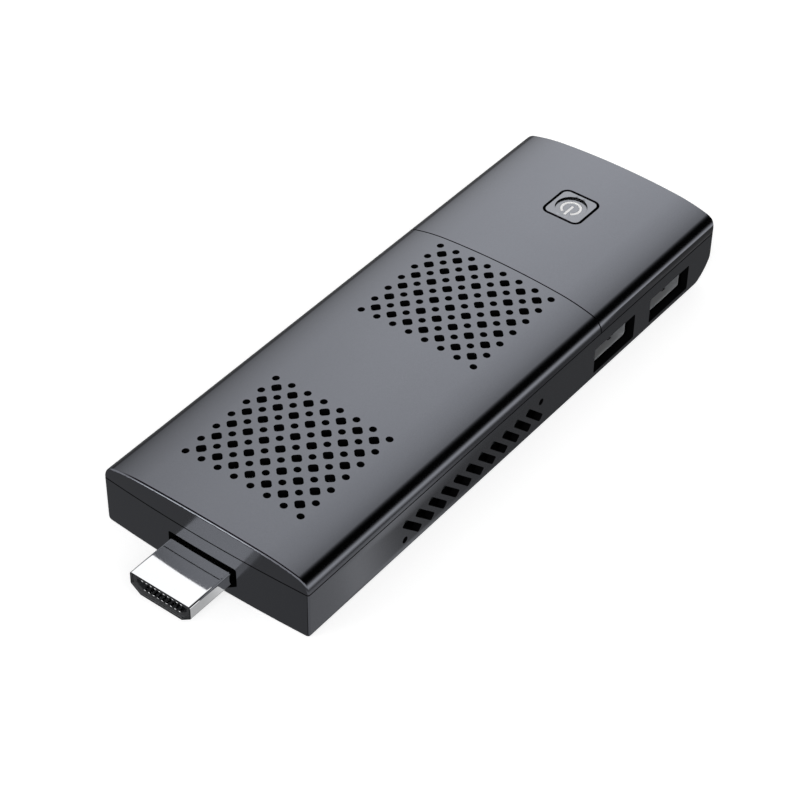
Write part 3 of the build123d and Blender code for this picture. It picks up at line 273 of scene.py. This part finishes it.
def shade_as_skin(mesh):
    """Lacquer covers only the outer skin, where each face corner takes the true normal. Along the case that
    is the cross-section's. On the rounded front edge it is that normal times the cosine of an angle plus the
    bowed wall's times its sine, which is one less the way in from the wall over the edge's radius. On the
    rear corners and the tail it is the way from the rounding's axis over its radius."""
    corners = np.empty(len(mesh.loops), dtype=np.int32)
    mesh.loops.foreach_get("vertex_index", corners)
    places = np.empty(len(mesh.vertices) * 3)
    mesh.vertices.foreach_get("co", places)
    x, y, z = (places.reshape(-1, 3)[corners] / MM).T
    side = np.where(y < 0, -1.0, 1.0)
    y = np.abs(y)
    totals = np.empty(len(mesh.polygons), dtype=np.int32)
    mesh.polygons.foreach_get("loop_total", totals)
    facing = np.repeat(of_faces(mesh, "normal"), totals, axis=0)
    skin = np.zeros_like(facing)

    def claim(on, along, sideways, upwards):
        """Corners take a normal, mirrored to their own side, where they are on its surface and their face
        looks about that way."""
        parts = (along, side * sideways, upwards)
        normal = np.stack([np.broadcast_to(part, x.shape) for part in parts], axis=1)
        on = on & ((normal * facing).sum(axis=1) > SKIN_ALIGNED)
        skin[on] = normal[on]

    def on_rounding(first, second, radius):
        """Whether corners lie on a rounding, from their way from its axis over its radius."""
        return np.abs(np.hypot(first, second) - 1) * radius < SKIN_TOLERANCE

    depth, sideways, upwards = nearest_skin(y, z)
    bow_aside = y / FRONT_BOW_RADIUS
    bow_ahead = np.sqrt(1 - bow_aside ** 2)
    inward = x - CASE_FRONT - FRONT_BOW_RADIUS * (1 - bow_ahead)
    sine = np.clip(1 - inward / END_EDGE_RADIUS, 0.0, 1.0)
    cosine = np.sqrt(1 - sine ** 2)
    level = np.abs(depth - END_EDGE_RADIUS * (1 - cosine)) < SKIN_TOLERANCE
    claim(level, -sine * bow_ahead, sine * bow_aside + cosine * sideways, cosine * upwards)
    claim(np.abs(inward) < SKIN_TOLERANCE, -bow_ahead, bow_aside, 0.0)
    claim(CASE_REAR - x < SKIN_TOLERANCE, 1.0, 0.0, 0.0)
    behind = (x - CASE_REAR) / REAR_CORNER_RADIUS + 1
    beside = (y - CASE_HALF_WIDTH) / REAR_CORNER_RADIUS + 1
    on_corner = (behind > 0) & (beside > 0) & on_rounding(behind, beside, REAR_CORNER_RADIUS)
    claim(on_corner, behind, beside, 0.0)
    behind = (x - CASE_REAR) / TAIL_RADIUS + 1
    above = z / TAIL_RADIUS - 1
    on_tail = (behind > -SMALL_ANGLE) & (above < SMALL_ANGLE) & on_rounding(behind, above, TAIL_RADIUS)
    claim(on_tail, behind, 0.0, above)
    mesh.normals_split_custom_set(skin)
    sprayed = np.logical_and.reduceat(skin.any(axis=1), np.cumsum(totals) - totals)
    # Faces off the skin take the near-black moulding, which is partly painted shade in the seams, slots and
    # holes.
    take_second_material(mesh, ~sprayed)


LACQUER = effect_group("sprayed lacquer", lacquer_look)
MOULDED = effect_group("moulded plastic", moulded_look)
case_lacquer = finish_of("case lacquer", LACQUER, LACQUER_GREY, roughness=0.16, depth=0.0006, Metallic=1.0)
# Bare moulding: the case's own dark plastic, made near black and almost unreflective so that the seams,
# slots, holes and the gap round the button read dark; that darkness is partly painted shade.
bare_moulding_and_shade = finish_of("bare moulding", MOULDED, MOULDING_BLACK_AND_SHADE, roughness=0.8, depth=0.004,
                          Specular_IOR_Level=0.05)
for node in ("bottom_shell", "front_cover", "rear_cover"):
    case_piece = dressed(node, case_lacquer)
    case_piece.data.materials.append(bare_moulding_and_shade)
    shade_as_skin(case_piece.data)

# Main board: black solder resist over glass fibre, milled to fit the case, with notches in its edge for the
# plug and the sockets. Copper runs show faintly through the resist.
RESIST_BLACK = "#15181a"
RUN_SPACING = 0.06


def resist_look(tree, place):
    """Solder resist: copper runs stand out as slightly raised, slightly lighter lines with square turns, cut
    out of cell edges on a fine grid, and scattered small round vias dot it."""
    runs = placed(tree, "ShaderNodeTexVoronoi", [(place, "Vector")], feature="F1", distance="CHEBYCHEV",
                  Scale=420.0, Randomness=0.85).outputs["Distance"]
    lines = combined(tree, "PINGPONG", runs, RUN_SPACING)
    raised = spread(tree, lines, low=0.0, high=1.0, begin=0.025, finish=0.035)
    dots = placed(tree, "ShaderNodeTexVoronoi", [(place, "Vector")], Scale=600.0).outputs["Distance"]
    vias = spread(tree, dots, low=1.0, high=0.0, begin=0.1, finish=0.14)
    shade = combined(tree, "ADD", spread(tree, raised, low=0.85, high=1.35),
                     spread(tree, vias, low=0.0, high=1.2))
    return shade, spread(tree, raised, low=0.04, high=-0.04), combined(tree, "MAXIMUM", raised, vias)


RESIST = effect_group("solder resist", resist_look)
board_black = finish_of("black resist", RESIST, RESIST_BLACK, roughness=0.35, depth=0.03)
dressed("main_board", board_black, bevel=0.04)

# Video plug: a D-shaped shell of folded steel sheet, bright nickel plated but near black where it faces
# forward, which is partly its bare cut front edge and partly painted shade, round a dark grey moulded
# insulator with bright contacts, ten above nine. It is soldered to the board.
NICKEL_WHITE = "#ebecee"
CUT_STEEL_AND_SHADE_GREY = "#34363a"
INSULATOR_GREY = "#2d2e30"
CUT_AND_SHADE_FACING = 0.9


def plated_look(tree, place):
    """Plated or bare metal: fine lines of rolling or polishing run along X, with faint clouds of gloss."""
    drawn = placed(tree, "ShaderNodeMapping", [(place, "Vector")], Scale=(1.0, 14.0, 14.0)).outputs["Vector"]
    lines = noise(tree, drawn, Scale=900.0, Detail=3.0)
    clouds = noise(tree, place, Scale=160.0, Detail=4.0)
    shade = combined(tree, "MULTIPLY", spread(tree, lines, low=0.96, high=1.04),
                     spread(tree, clouds, low=0.97, high=1.03))
    gloss = combined(tree, "ADD", spread(tree, lines, low=-0.02, high=0.02),
                     spread(tree, clouds, low=-0.03, high=0.03))
    return shade, gloss, lines


PLATED = effect_group("plated metal", plated_look)
bright_nickel = finish_of("bright nickel", PLATED, NICKEL_WHITE, roughness=0.06, depth=0.0002, Metallic=1.0)
# The shell's forward-facing faces take a near-black steel: partly the bare cut edge, partly painted shade.
cut_edge_and_shade = finish_of("cut steel edge", PLATED, CUT_STEEL_AND_SHADE_GREY, roughness=0.4, depth=0.002, Metallic=1.0)
grey_nylon = finish_of("dark grey nylon", MOULDED, INSULATOR_GREY, roughness=0.42, depth=0.004)
plug_shell = dressed("video_plug_shell", bright_nickel, bevel=0.07, segments=3, split=True)
plug_shell.data.materials.append(cut_edge_and_shade)
take_second_material(plug_shell.data, of_faces(plug_shell.data, "normal")[:, 0] < -CUT_AND_SHADE_FACING)
dressed("video_plug_insulator", grey_nylon, bevel=0.05)
dressed("video_plug_contacts", bright_nickel, bevel=0.05)

# USB sockets: two steel sheet shells with leaf springs cut in their roof and floor, each round a black
# tongue with four gold-plated contacts on its underside. They sit in notches of the board, behind the wall.
TIN_PLATE_GREY = "#c4c6c9"
NYLON_BLACK = "#1b1c1e"
GOLD_YELLOW = "#e3c07a"
tin_plate = finish_of("tin plate", PLATED, TIN_PLATE_GREY, roughness=0.42, depth=0.002, Metallic=0.6)
black_nylon = finish_of("black nylon", MOULDED, NYLON_BLACK, roughness=0.42, depth=0.004)
gold_plate = finish_of("gold plate", PLATED, GOLD_YELLOW, roughness=0.2, depth=0.001, Metallic=1.0)
for place_name in ("front", "rear"):
    dressed("usb_socket_shell_" + place_name, tin_plate, bevel=0.03)
    dressed("usb_socket_tongue_" + place_name, black_nylon, bevel=0.06)
    dressed("usb_socket_contacts_" + place_name, gold_plate, bevel=0.03)

# Power inlet and memory card socket: small sheet steel housings soldered on the board at the far side, with
# a black moulded tongue or base inside.
SHEET_STEEL_GREY = "#b4b6ba"
sheet_steel = finish_of("sheet steel", PLATED, SHEET_STEEL_GREY, roughness=0.24, depth=0.002, Metallic=1.0)
dressed("power_inlet_shell", sheet_steel, bevel=0.05)
dressed("power_inlet_tongue", black_nylon, bevel=0.04)
dressed("power_inlet_contacts", gold_plate)
dressed("card_socket_cover", sheet_steel, bevel=0.05)
dressed("card_socket_base", black_nylon, bevel=0.04)

# Switch under the button: a black base with tinned terminals, a domed steel spring, a plunger that rides
# with the button, and a sheet cover plate. The dome is thin and smooth, so it keeps its own surface.
TINNED_GREY = "#c3c4c2"
tinned = finish_of("tinned copper", PLATED, TINNED_GREY, roughness=0.32, depth=0.002, Metallic=1.0)
dressed("switch_base", black_nylon, bevel=0.08)
dressed("switch_cover_plate", sheet_steel, bevel=0.03)
frame["nodes"]["switch_dome"].data.materials.clear()
frame["nodes"]["switch_dome"].data.materials.append(sheet_steel)
dressed("switch_plunger", black_nylon, bevel=0.08)
dressed("switch_terminals", tinned, bevel=0.03)

# Power button: a rounded square cap, lacquered like the case but a little lighter, with a round dish that
# holds a white inlaid mark. Its flange is caught under the rear cover and stays bare.
BUTTON_GREY = "#7d7f84"
MARK_WHITE = "#fcfcfc"
SPRAYED_ABOVE = 14.6
SPRAYED_FACING = 0.7
button_lacquer = finish_of("button lacquer", LACQUER, BUTTON_GREY, roughness=0.2, depth=0.0006, Metallic=1.0)
white_inlay = finish_of("white inlay", MOULDED, MARK_WHITE, roughness=0.35, depth=0.002)
button = dressed("power_button", button_lacquer, bevel=0.15)
# Faces off the cap's top take the near-black moulding: the hidden flange, and the walls in the gap round the
# cap, where it is partly painted shade.
button.data.materials.append(bare_moulding_and_shade)
looks_up = of_faces(button.data, "normal")[:, 2] >= SPRAYED_FACING
lies_high = of_faces(button.data, "center")[:, 2] >= SPRAYED_ABOVE * MM
take_second_material(button.data, ~(looks_up & lies_high))
dressed("power_symbol", white_inlay)

# Processor cooler: a green package with a bare die, a soft grey-blue pad, and an extruded aluminium heat
# sink, sawn across into pins, that four screws hold down on brass posts.
MODULE_GREEN = "#1d4a2e"
EPOXY_BLACK = "#26272a"
PAD_BLUE = "#8b96a3"
ALUMINIUM_GREY = "#bfc1c4"
BRASS_YELLOW = "#c9a75e"
ZINC_GREY = "#b9bbbd"
board_green = finish_of("green resist", RESIST, MODULE_GREEN, roughness=0.35, depth=0.03)
die_black = finish_of("moulded epoxy", MOULDED, EPOXY_BLACK, roughness=0.45, depth=0.006)
soft_pad = finish_of("soft pad", MOULDED, PAD_BLUE, roughness=0.7, depth=0.01)
bare_aluminium = finish_of("bare aluminium", PLATED, ALUMINIUM_GREY, roughness=0.34, depth=0.004,
                           Metallic=1.0)
turned_brass = finish_of("turned brass", PLATED, BRASS_YELLOW, roughness=0.26, depth=0.002, Metallic=1.0)
zinc_plate = finish_of("zinc plate", PLATED, ZINC_GREY, roughness=0.28, depth=0.002, Metallic=1.0)
dressed("processor_package", board_green, bevel=0.06)
dressed("processor_die", die_black, bevel=0.04)
dressed("thermal_pad", soft_pad, bevel=0.12)
dressed("heat_sink", bare_aluminium, bevel=0.05)
dressed("heat_sink_posts", turned_brass)
dressed("heat_sink_screws", zinc_plate)

# Blower: a black moulded frame and wheel under a steel lid, a sleeve bearing and a steel shaft, and a
# four-pole motor with enamelled copper coils inside the hub. Three thin leads end in a white plug.
BLOWER_BLACK = "#17181a"
MOTOR_GREY = "#8f9195"
FERRITE_GREY = "#4a4b4e"
ENAMEL_RED = "#b0643a"
LEAD_BLACK = "#232427"
RAW_NYLON_WHITE = "#e6e2d8"
LEAD_SHARP_DEGREES = 60.0
fan_black = finish_of("blower plastic", MOULDED, BLOWER_BLACK, roughness=0.38, depth=0.004)
motor_steel = finish_of("motor steel", PLATED, MOTOR_GREY, roughness=0.4, depth=0.003, Metallic=1.0)
ferrite = finish_of("pressed ferrite", MOULDED, FERRITE_GREY, roughness=0.6, depth=0.012)
enamel_copper = finish_of("enamelled copper", PLATED, ENAMEL_RED, roughness=0.3, depth=0.006, Metallic=1.0)
lead_cover = finish_of("lead cover", MOULDED, LEAD_BLACK, roughness=0.5, depth=0.003)
raw_nylon = finish_of("raw nylon", MOULDED, RAW_NYLON_WHITE, roughness=0.45, depth=0.003)
dressed("fan_frame", fan_black, bevel=0.08)
dressed("fan_lid", motor_steel, bevel=0.06)
dressed("fan_impeller", fan_black)
dressed("fan_magnet", ferrite)
dressed("fan_shaft", zinc_plate)
dressed("fan_bearing", turned_brass)
dressed("fan_stator", motor_steel)
dressed("fan_coils", enamel_copper, bevel=0.15)
dressed("fan_posts", turned_brass)
dressed("fan_screws", zinc_plate)
dressed("fan_leads", lead_cover, sharp=LEAD_SHARP_DEGREES)
dressed("fan_lead_plug", raw_nylon, bevel=0.1)
dressed("fan_lead_socket", raw_nylon, bevel=0.1)

# Small parts on the board: moulded chips, ferrite inductors, ceramic capacitors, metal cans of the crystals
# and a clear status lamp.
CERAMIC_TAN = "#b08d68"
LAMP_CLEAR = "#e9eef2"
ceramic = finish_of("fired ceramic", MOULDED, CERAMIC_TAN, roughness=0.5, depth=0.004)
clear_lamp = finish_of("clear lamp", MOULDED, LAMP_CLEAR, roughness=0.12, depth=0.001,
                       Transmission_Weight=0.7, IOR=1.5)
for node in ("memory_chips", "storage_chip", "power_chips"):
    dressed(node, die_black, bevel=0.06)
dressed("inductors", ferrite, bevel=0.25)
dressed("capacitors", ceramic, bevel=0.08)
dressed("crystals", sheet_steel, bevel=0.15)
dressed("status_light", clear_lamp, bevel=0.1)

# Clock battery: a bright steel coin cell pushed into a round black holder that is soldered on the board. Its
# rim is rounded where the can is crimped.
CELL_GREY = "#c2c4c6"
cell_steel = finish_of("cell steel", PLATED, CELL_GREY, roughness=0.22, depth=0.002, Metallic=1.0)
dressed("coin_cell", cell_steel, bevel=0.25, segments=3)
dressed("coin_cell_holder", black_nylon, bevel=0.08)

# Wireless module: a green board under a pressed can, two snap plugs, thin coaxial leads that run to the
# film aerials on the rear wall.
JACKET_GREY = "#5b5d60"
FILM_AMBER = "#b57a35"
coax_grey = finish_of("coaxial jacket", MOULDED, JACKET_GREY, roughness=0.4, depth=0.002)
amber_film = finish_of("amber film", MOULDED, FILM_AMBER, roughness=0.25, depth=0.002)
dressed("wireless_board", board_green, bevel=0.05)
dressed("wireless_can", sheet_steel, bevel=0.15)
dressed("aerial_plugs", gold_plate)
dressed("aerial_leads", coax_grey, sharp=LEAD_SHARP_DEGREES)
dressed("aerials", amber_film)

# Screws: six black zinc-plated ones from below hold the case together, three bright ones hold the board.
# Their heads sit in round recesses of the underside and on the board's top.
DARK_ZINC_GREY = "#3a3b3e"
black_zinc = finish_of("black zinc", PLATED, DARK_ZINC_GREY, roughness=0.35, depth=0.002, Metallic=1.0)
dressed("case_screws", black_zinc)
dressed("board_screws", zinc_plate)

# Studio light: a soft room, told by direction alone. Panels hang at the front end, at the near side and over
# the far side, with dark gaps between. A strip stands ahead at the far side, a card lies low at the near
# side, and one soft lamp lights what isn't a mirror.
GROUND_LEVEL = 0.19
END_PANEL_LEVEL = 1.05
PROFILE_TOP = 2.0
FAR_GROWTH = 3.6
FAR_LEAN = (-0.15, 0.15)
STRIP_LEVEL = 2.6
CARD_LEVEL = 1.05
CARD_FRONT_SHARE = 0.3
KEY_LEVEL = 1.2
KEY_SPREAD = math.radians(60.0)
KEY_FROM = Vector((-0.35, -0.75, 0.85))

# How bright the room is at each turn, in degrees, up from level at the near side: overhead is 90.
ROOM_PROFILE = [(-180, GROUND_LEVEL), (-90, GROUND_LEVEL), (-62, 0.14), (-24, 0.14), (-16, 0.28), (-7, 1.0),
                (0, 1.45), (6, 1.3), (13, 0.7), (20, 0.1), (27, 0.004), (56, 0.001), (66, 0.02), (74, 0.1),
                (83, 0.4), (90, 0.72), (94, 0.93), (100, 1.15), (108, 1.29), (117, 1.45), (125, 1.5),
                (132, 1.46), (139, 1.34), (147, 1.19), (153, 1.0), (158, 0.82), (162, 0.28),
                (166, GROUND_LEVEL)]

# Where each soft edge begins and ends, as a part of the unit direction, and where the far panel grows
# brighter, as a turn.
PANEL_END = (-0.15, 0.2)
HORIZON = (-0.12, 0.12)
FAR_LEAN_SPAN = (0.45, 0.75)
FAR_TURNS = (math.radians(92.0), math.radians(160.0))
GAP_FRONT = (-0.48, -0.42)
GAP_REAR = (0.38, 0.45)
GAP_LOW = (0.5, 0.65)
STRIP_REAR = (-0.73, -0.66)
STRIP_NEAR = (0.3, 0.4)
STRIP_LOW = (0.0, 0.1)
CARD_REAR = (0.48, 0.57)
CARD_FRONT = (0.495, 0.508)
CARD_FAR = (0.2, 0.35)
CARD_HIGH = (-0.45, -0.3)


def soft_step(tree, value, begin, finish, low=0.0, high=1.0):
    """A value that eases from low to high while another goes from begin to finish."""
    return placed(tree, "ShaderNodeMapRange", [(value, "Value")], interpolation_type="SMOOTHSTEP",
                  From_Min=begin, From_Max=finish, To_Min=low, To_Max=high).outputs["Result"]


def product(tree, first, *others):
    """Several values multiplied."""
    for other in others:
        first = combined(tree, "MULTIPLY", first, other)
    return first


def room_profile(tree, turn):
    """The room's brightness by turn, read off a ramp that holds it as shares of the profile's top."""
    share = spread(tree, turn, low=0.0, high=1.0, begin=-math.pi, finish=math.pi)
    ramp = placed(tree, "ShaderNodeValToRGB", [(share, "Fac")])
    stops = ramp.color_ramp.elements
    for index, (degrees, level) in enumerate(ROOM_PROFILE):
        stop = stops[0] if index == 0 else stops.new((degrees + 180) / 360)
        stop.position = (degrees + 180) / 360
        stop.color = (*[level / PROFILE_TOP] * 3, 1)
    stops.remove(stops[-1])
    return combined(tree, "MULTIPLY", ramp.outputs["Color"], PROFILE_TOP)


world = bpy.data.worlds.new("studio")
bpy.context.scene.world = world
world.use_nodes = True
tree = world.node_tree
tree.nodes.clear()
direction = placed(tree, "ShaderNodeTexCoord").outputs["Generated"]
along, across, height = placed(tree, "ShaderNodeSeparateXYZ", [(direction, "Vector")]).outputs
near = combined(tree, "MULTIPLY", across, -1.0)
turn = combined(tree, "ARCTAN2", height, near)
growth = product(tree, spread(tree, along, *FAR_LEAN, *FAR_LEAN_SPAN),
                 spread(tree, turn, 0.0, FAR_GROWTH, *FAR_TURNS))
sides = product(tree, room_profile(tree, turn), combined(tree, "ADD", 1.0, growth),
                soft_step(tree, along, *PANEL_END))
front = product(tree, soft_step(tree, height, *HORIZON, GROUND_LEVEL, END_PANEL_LEVEL),
                soft_step(tree, along, *PANEL_END, 1.0, 0.0))
gap = product(tree, soft_step(tree, along, *GAP_REAR, 1.0, 0.0), soft_step(tree, along, *GAP_FRONT),
              soft_step(tree, height, *GAP_LOW))
room = product(tree, combined(tree, "ADD", sides, front), combined(tree, "SUBTRACT", 1.0, gap))
strip = product(tree, soft_step(tree, along, *STRIP_REAR, STRIP_LEVEL, 0.0),
                soft_step(tree, across, *STRIP_NEAR), soft_step(tree, height, *STRIP_LOW))
card = product(tree, soft_step(tree, along, *CARD_REAR, CARD_LEVEL, 0.0), soft_step(tree, near, *CARD_FAR),
               soft_step(tree, along, *CARD_FRONT, CARD_FRONT_SHARE, 1.0),
               soft_step(tree, height, *CARD_HIGH, 1.0, 0.0))
room = combined(tree, "ADD", combined(tree, "ADD", room, strip), card)
rays = placed(tree, "ShaderNodeLightPath")
direct = combined(tree, "MAXIMUM", rays.outputs["Is Camera Ray"], rays.outputs["Is Transmission Ray"])
seen = combined(tree, "ADD", direct, product(tree, room, combined(tree, "SUBTRACT", 1.0, direct)))
light = placed(tree, "ShaderNodeBackground", [(seen, "Strength")], Color=(1, 1, 1, 1))
placed(tree, "ShaderNodeOutputWorld", [(light.outputs[0], "Surface")])

key_light = bpy.data.lights.new("soft key", "SUN")
key_light.energy = KEY_LEVEL
key_light.angle = KEY_SPREAD
key = bpy.data.objects.new("soft key", key_light)
key.rotation_mode = "QUATERNION"
key.rotation_quaternion = KEY_FROM.to_track_quat("Z", "Y")
key.visible_glossy = False
bpy.context.collection.objects.link(key)

# Ground: a flat matt sheet under the case that holds its shadow. It glows only where the camera looks at it,
# so it shows white there and throws little light up at the case.
FLOOR_HALF = 3000.0
FLOOR_SHADE = 0.25
FLOOR_SHADE_SEEN = 0.6
FLOOR_GLOW_SEEN = 0.64
FLOOR_ROUGHNESS = 0.9
floor_mesh = bpy.data.meshes.new("floor")
floor_corners = ((-1, -1), (1, -1), (1, 1), (-1, 1))
floor_mesh.from_pydata([(x * FLOOR_HALF * MM, y * FLOOR_HALF * MM, 0) for x, y in floor_corners], [],
                       [(0, 1, 2, 3)])
floor = bpy.data.objects.new("floor", floor_mesh)
bpy.context.collection.objects.link(floor)
floor_paint = bpy.data.materials.new("floor paint")
floor_paint.use_nodes = True
tree = floor_paint.node_tree
shader = tree.nodes["Principled BSDF"]
shader.inputs["Roughness"].default_value = FLOOR_ROUGHNESS
shader.inputs["Specular IOR Level"].default_value = 0.0
shader.inputs["Emission Color"].default_value = (1, 1, 1, 1)
seen = placed(tree, "ShaderNodeLightPath").outputs["Is Camera Ray"]
tree.links.new(spread(tree, seen, FLOOR_SHADE, FLOOR_SHADE_SEEN), shader.inputs["Base Color"])
tree.links.new(spread(tree, seen, 0.0, FLOOR_GLOW_SEEN), shader.inputs["Emission Strength"])
floor_mesh.materials.append(floor_paint)
floor.visible_glossy = False

# Camera: it stands ahead of the plug and to the side of the USB sockets, and looks down at the case through
# a long lens.
CAMERA_PLACE = Vector((-269.085, -203.342, 305.098)) * MM
CAMERA_AZIMUTH = math.radians(-52.6466)
CAMERA_ELEVATION = math.radians(42.0447)
CAMERA_ROLL = math.radians(0.7843)
CAMERA_LENS = 107.912
CAMERA_SENSOR = 36.0
CAMERA_NEAR = 10.0
back = Vector((math.sin(CAMERA_AZIMUTH) * math.cos(CAMERA_ELEVATION),
               -math.cos(CAMERA_AZIMUTH) * math.cos(CAMERA_ELEVATION), math.sin(CAMERA_ELEVATION)))
level_right = (-back).cross(Vector((0, 0, 1))).normalized()
level_up = level_right.cross(-back)
right = level_right * math.cos(CAMERA_ROLL) + level_up * math.sin(CAMERA_ROLL)
up = level_up * math.cos(CAMERA_ROLL) - level_right * math.sin(CAMERA_ROLL)
lens = bpy.data.cameras.new("camera")
lens.sensor_width = CAMERA_SENSOR
lens.lens = CAMERA_LENS
lens.clip_start = CAMERA_NEAR * MM
camera = bpy.data.objects.new("camera", lens)
camera.matrix_world = Matrix.Translation(CAMERA_PLACE) @ Matrix((right, up, back)).transposed().to_4x4()
bpy.context.collection.objects.link(camera)
bpy.context.scene.camera = camera
bpy.context.scene.view_settings.view_transform = "Standard"
